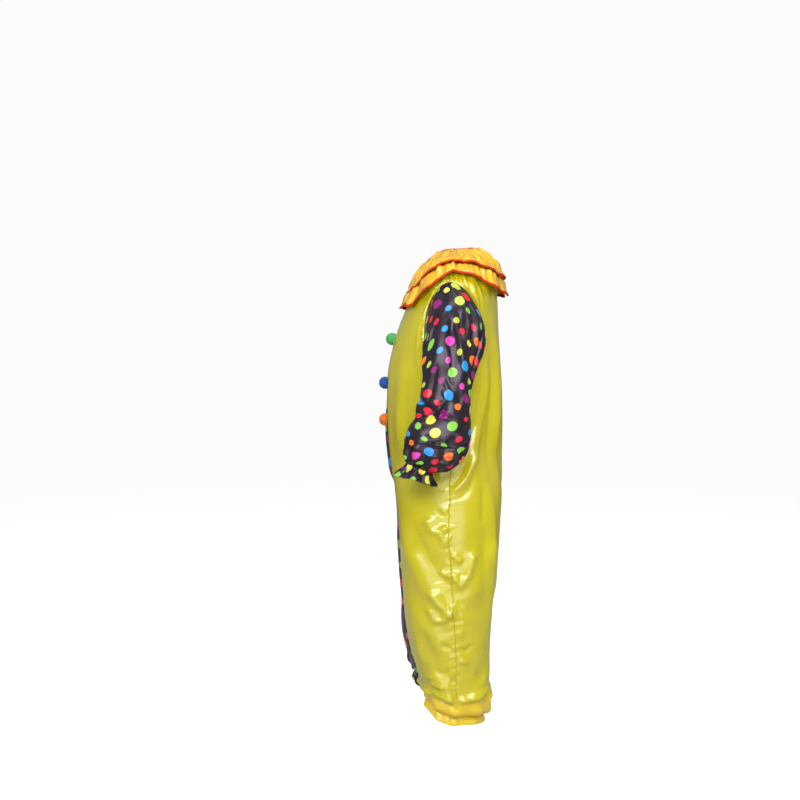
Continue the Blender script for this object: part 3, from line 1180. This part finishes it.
def sew_pompom(colour):
    """A ball of short yarn locks on a round core."""
    node = f"pompom_{colour}"
    line = smooth_body(-1.0, np.linspace(CROTCH, NECK, 300))
    where = int(np.argmin(np.abs(line[:, 2] - POMPOM_HEIGHTS[colour])))
    slope = line[where + 1] - line[where - 1]
    out = unit(np.array([0, -slope[2], slope[1]]))
    rest = POMPOM_CORE + 3 * SEAM
    centre = line[where] * (0, 1, 1) + out * rest
    ball = bmesh.new()
    core = POMPOM_RADIUS * 0.93
    bmesh.ops.create_icosphere(ball, subdivisions=4, radius=core)
    locks = ball.faces[:]
    bmesh.ops.inset_individual(ball, faces=locks, thickness=core * 0.012)
    for number, lock in enumerate(locks):
        way = Vector(lock.calc_center_median()).normalized()
        reach = POMPOM_RADIUS * (1.0 + 0.035 * math.sin(12.9 * number) + 0.02 * math.sin(3.7 * number))
        sway = (math.sin(7.1 * number), math.sin(5.3 * number + 1), math.sin(9.7 * number + 2))
        lean = Vector(sway) * 0.0008
        tip = bmesh.ops.poke(ball, faces=[lock])["verts"][0]
        tip.co = way * reach + lean
    away = Vector(out)
    for vert in ball.verts:
        behind = -vert.co.dot(away) - (rest - 0.001)
        if behind > 0:
            vert.co += away * behind
        vert.co += Vector(centre)
    data = new_mesh(node, ball)
    data.shade_smooth()
    piece = show(bpy.data.objects.new(f"yarn_{node}", data), finish_of(f"yarn_{colour}"))
    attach(piece, "root")
    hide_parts(node)


# ---- Studio ----
FLOOR_Z = -1.486
FLOOR_GREY, FLOOR_GLOW = 0.42, 0.86  # its colour, and how far it glows for the camera alone
SEEN, MIRRORED, LIGHTING = 0.97, 0.32, 0.20  # surroundings: to the camera, in gleams, as light
GLEAMING = ("key", "top", "low")  # the other lights brighten the sides without a gleam
CAMERA_AZIMUTH, CAMERA_DISTANCE, CAMERA_Z = 86, 3.6, -0.29
CAMERA_LENS = 52.5
LIGHTS_AIM = (0, 0, -0.6)
LOOK_LEFT, LOOK_DOWN = 50 / 1166, 53 / 1166  # slopes from the suit's own axis to the view's centre


def build_floor():
    backdrop = bmesh.new()
    bmesh.ops.create_grid(backdrop, x_segments=1, y_segments=1, size=14)
    data = new_mesh("floor", backdrop)
    data.transform(Matrix.Translation((0, 0, FLOOR_Z)))
    tree, shader = new_finish("pale_floor")
    seen = put(tree, "ShaderNodeLightPath").outputs["Is Camera Ray"]
    feed(
        tree,
        shader,
        [
            ("Emission Strength", reckon(tree, "MULTIPLY", seen, FLOOR_GLOW)),
            ("Emission Color", (1, 1, 1, 1)),
            ("Base Color", (FLOOR_GREY, FLOOR_GREY, FLOOR_GREY, 1)),
            ("Roughness", 0.9),
        ],
    )
    floor = show(bpy.data.objects.new("floor", data), finish_of("pale_floor"))


def build_world():
    world = bpy.data.worlds.new("studio")
    world.use_nodes = True
    tree = world.node_tree
    ray = put(tree, "ShaderNodeLightPath").outputs
    dim = between(tree, ray["Is Glossy Ray"], 0, 1, LIGHTING, MIRRORED)
    links = [(0, ray["Is Camera Ray"]), (2, dim), (3, SEEN)]
    glow = put(tree, "ShaderNodeMix", links, data_type="FLOAT").outputs[0]
    feed(tree, tree.nodes["Background"], [(0, (1, 1, 1, 1)), (1, glow)])
    bpy.context.scene.world = world
    bpy.context.scene.view_settings.view_transform = "Standard"


def build_camera():
    azimuth = math.radians(CAMERA_AZIMUTH)
    ahead = Vector((-math.sin(azimuth), math.cos(azimuth), 0))
    right = Vector((math.cos(azimuth), math.sin(azimuth), 0))
    camera = bpy.data.objects.new("camera", bpy.data.cameras.new("camera"))
    camera.location = -ahead * CAMERA_DISTANCE + Vector((0, 0, CAMERA_Z))
    look = ahead - right * LOOK_LEFT - Vector((0, 0, LOOK_DOWN))
    camera.rotation_euler = look.to_track_quat("-Z", "Y").to_euler()
    camera.data.lens = CAMERA_LENS
    camera.data.sensor_width = 36
    bpy.context.scene.collection.objects.link(camera)
    bpy.context.scene.camera = camera


def build_lights():
    softboxes = (
        ("key", (2.6, -0.3, 0.62), (3.0, 1.0), 75),
        ("top", (1.1, 0.1, 2.2), (2.6, 0.8), 34),
        ("low", (2.5, -0.1, -1.2), (2.0, 1.6), 19),
        ("far", (-3.0, -0.4, 0.6), (2.4, 1.6), 60),
        ("behind", (-0.5, 3.2, 0.9), (3.2, 2.4), 30),
        ("ahead", (-1.0, -3.1, 0.9), (3.2, 2.4), 24),
    )
    for name, place, size, power in softboxes:
        light = bpy.data.lights.new(name, "AREA")
        light.shape = "RECTANGLE"
        light.size, light.size_y = size
        light.energy = power
        lamp = bpy.data.objects.new(name, light)
        lamp.location = place
        aim = Vector(LIGHTS_AIM) - Vector(place)
        lamp.rotation_euler = aim.to_track_quat("-Z", "Y").to_euler()
        lamp.visible_glossy = name in GLEAMING
        bpy.context.scene.collection.objects.link(lamp)


# ---- The add-on ----


class SuitSizes(bpy.types.PropertyGroup):
    """Sizes of the cloth and its print."""

    cloth: FloatProperty(name="Cloth", description="Thickness of the satin", default=0.0009, unit="LENGTH")
    ruffle: FloatProperty(
        name="Ruffle", description="Thickness of the ruffles", default=0.0009, unit="LENGTH"
    )
    dot_spacing: FloatProperty(
        name="Dot spacing", description="Distance between dots", default=0.045, unit="LENGTH"
    )
    large_dot: FloatProperty(
        name="Large dot", description="Radius of a large dot", default=0.0150, unit="LENGTH"
    )
    small_dot: FloatProperty(
        name="Small dot", description="Radius of a small dot", default=0.0098, unit="LENGTH"
    )


class SuitColours(bpy.types.PropertyGroup):
    """Colours of the satins, tape and yarns."""

    plain: FloatVectorProperty(
        name="Plain satin", description="Lime-yellow half", default=(0.58, 0.51, 0.006), subtype="COLOR"
    )
    dark: FloatVectorProperty(
        name="Dotted satin",
        description="Ground of the dotted half",
        default=(0.012, 0.010, 0.013),
        subtype="COLOR",
    )
    gold: FloatVectorProperty(
        name="Collar", description="Collar satin", default=(0.95, 0.61, 0.028), subtype="COLOR"
    )
    binding: FloatVectorProperty(
        name="Binding", description="Red tape", default=(0.62, 0.036, 0.003), subtype="COLOR"
    )
    green: FloatVectorProperty(
        name="Green yarn", description="Top pompom", default=(0.07, 0.52, 0.12), subtype="COLOR"
    )
    blue: FloatVectorProperty(
        name="Blue yarn", description="Middle pompom", default=(0.01, 0.10, 0.48), subtype="COLOR"
    )
    orange: FloatVectorProperty(
        name="Orange yarn", description="Low pompom", default=(0.90, 0.22, 0.03), subtype="COLOR"
    )


def sizes():
    return bpy.context.scene.suit_sizes


class SUIT_OT_finishes(bpy.types.Operator):
    """Make the satins, tape and yarns"""

    bl_idname = "suit.finishes"
    bl_label = "Make finishes"

    def execute(self, context):
        colours = context.scene.suit_colours
        satin_group()
        dots_group()
        dots = {"Spacing": sizes().dot_spacing, "Large": sizes().large_dot, "Small": sizes().small_dot}
        names = ("plain", "dark", "gold", "binding")
        plain, dark, gold, tape = (tuple(getattr(colours, name)) for name in names)
        shade = (plain[0] * 0.90, plain[1] * 0.87, plain[2])
        satin("satin_plain", plain, shade, 0.24, 1.0, hem=(0.88, 0.63, 0.012))
        satin("satin_dotted", dark, (0.022, 0.016, 0.026), 0.32, 0.46, tint=(1, 0.82, 1), dots=dots)
        satin("satin_gold", gold, (0.60, 0.19, 0.004), 0.21, 1.0, streaks=(60, 8, 1), crumple=0.0008)
        matt("tape_red", tape, (tape[0] * 0.75, tape[1], tape[2]), 900, 0.0006, 0)
        for name in ("green", "blue", "orange"):
            colour = tuple(getattr(colours, name))
            matt(f"yarn_{name}", colour, tuple(0.7 * c for c in colour), 700, 0.001, 0.3)
        return {"FINISHED"}


class SUIT_OT_body(bpy.types.Operator):
    """Sew the four body panels"""

    bl_idname = "suit.body"
    bl_label = "Sew body"

    def execute(self, context):
        sew_half("left")
        sew_half("right")
        return {"FINISHED"}


class SUIT_OT_sleeves(bpy.types.Operator):
    """Sew both sleeves"""

    bl_idname = "suit.sleeves"
    bl_label = "Sew sleeves"

    def execute(self, context):
        sew_sleeve("left")
        sew_sleeve("right")
        return {"FINISHED"}


class SUIT_OT_ruffles(bpy.types.Operator):
    """Gather the cuff and ankle ruffles"""

    bl_idname = "suit.ruffles"
    bl_label = "Gather ruffles"

    def execute(self, context):
        for side in ("left", "right"):
            sew_cuff(side)
            sew_ankle(side)
        return {"FINISHED"}


class SUIT_OT_collar(bpy.types.Operator):
    """Gather the collar and bind its edges"""

    bl_idname = "suit.collar"
    bl_label = "Gather collar"

    def execute(self, context):
        for which in ("lower", "upper"):
            sew_tier(which)
            bind_tier(which)
        bind_neck()
        return {"FINISHED"}


class SUIT_OT_pompoms(bpy.types.Operator):
    """Wind the pompoms"""

    bl_idname = "suit.pompoms"
    bl_label = "Wind pompoms"

    def execute(self, context):
        for colour in ("green", "blue", "orange"):
            sew_pompom(colour)
        return {"FINISHED"}


class SUIT_OT_stage(bpy.types.Operator):
    """Set up the floor, lights and camera"""

    bl_idname = "suit.stage"
    bl_label = "Set stage"

    def execute(self, context):
        build_floor()
        build_world()
        build_camera()
        build_lights()
        return {"FINISHED"}


OPERATORS = (
    SUIT_OT_finishes,
    SUIT_OT_body,
    SUIT_OT_sleeves,
    SUIT_OT_ruffles,
    SUIT_OT_collar,
    SUIT_OT_pompoms,
    SUIT_OT_stage,
)


class SUIT_PT_panel(bpy.types.Panel):
    """Steps of the jumpsuit, in order"""

    bl_idname = "SUIT_PT_panel"
    bl_label = "Clown jumpsuit"
    bl_space_type = "VIEW_3D"
    bl_region_type = "UI"
    bl_category = "Jumpsuit"

    def draw(self, context):
        for group in (context.scene.suit_sizes, context.scene.suit_colours):
            for name in group.bl_rna.properties.keys():
                if name not in ("rna_type", "name"):
                    self.layout.prop(group, name)
        for operator in OPERATORS:
            self.layout.operator(operator.bl_idname)


CLASSES = (SuitSizes, SuitColours, *OPERATORS, SUIT_PT_panel)


def register():
    for cls in CLASSES:
        bpy.utils.register_class(cls)
    bpy.types.Scene.suit_sizes = PointerProperty(type=SuitSizes)
    bpy.types.Scene.suit_colours = PointerProperty(type=SuitColours)


def unregister():
    del bpy.types.Scene.suit_sizes
    del bpy.types.Scene.suit_colours
    for cls in reversed(CLASSES):
        bpy.utils.unregister_class(cls)


def main():
    register()
    for operator in OPERATORS:
        group, name = operator.bl_idname.split(".")
        getattr(getattr(bpy.ops, group), name)()


if __name__ == "__main__":
    main()
